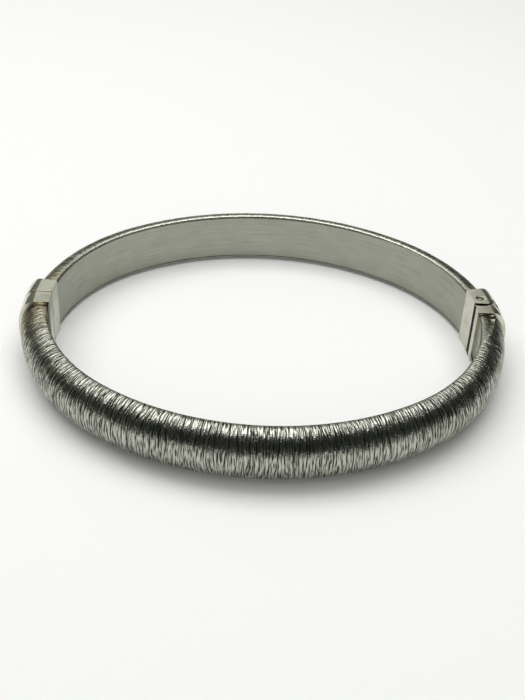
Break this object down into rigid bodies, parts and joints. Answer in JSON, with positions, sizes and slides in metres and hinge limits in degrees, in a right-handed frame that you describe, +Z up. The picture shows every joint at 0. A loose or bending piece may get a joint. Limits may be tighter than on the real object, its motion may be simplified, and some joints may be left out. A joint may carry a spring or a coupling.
{
  "type": "hinged bangle bracelet",
  "caption": "Hinged oval bangle with hollow domed halves, bark-textured outside, polished end collars, a pin hinge and a concealed tongue clasp.",
  "frame": {"origin": "centre of the oval, on the plane the collars rest on", "axes": "+X along the oval's length towards the hinge, +Y towards the back half, +Z up through the wrist opening"},
  "size_m": [0.0684, 0.06, 0.0084],
  "materials": {
    "bark_silver": "bark-engraved, darkened in the grooves",
    "satin_silver": "satin, drawn along the band",
    "polished_silver": "polished, lightly tarnished",
    "spring_metal": "plain rolled strip and wire"
  },
  "bodies": {
    "back_half": {"back_shell": "bark_silver", "back_liner": "satin_silver", "back_hinge_collar": "polished_silver", "back_clasp_collar": "polished_silver", "back_hinge_end_plate": "satin_silver", "clasp_slot_plate": "satin_silver", "clasp_box": "satin_silver", "hinge_knuckle_top": "polished_silver", "hinge_knuckle_bottom": "polished_silver", "hinge_pin": "spring_metal"},
    "front_half": {"front_shell": "bark_silver", "front_liner": "satin_silver", "front_hinge_collar": "polished_silver", "front_clasp_collar": "polished_silver", "front_hinge_end_plate": "satin_silver", "front_clasp_end_plate": "satin_silver", "hinge_knuckle_middle": "polished_silver", "tongue_fixed_leaf": "spring_metal"},
    "spring_leaf": {"tongue_spring_leaf": "spring_metal", "thumb_piece": "polished_silver"}
  },
  "joints": [
    {"name": "bangle_opening", "type": "hinge", "parent": "back_half", "child": "front_half", "pos_m": [0.0305, 0.0044, 0.0042], "axis": [0, 0, 1], "range_deg": [0, 42]},
    {"name": "clasp_press", "type": "hinge", "parent": "front_half", "child": "spring_leaf", "pos_m": [-0.03145, 0.00335, 0.00305], "axis": [-1, 0, 0], "range_deg": [0, 8], "stiffness_Nm_per_rad": 0.002}
  ]
}
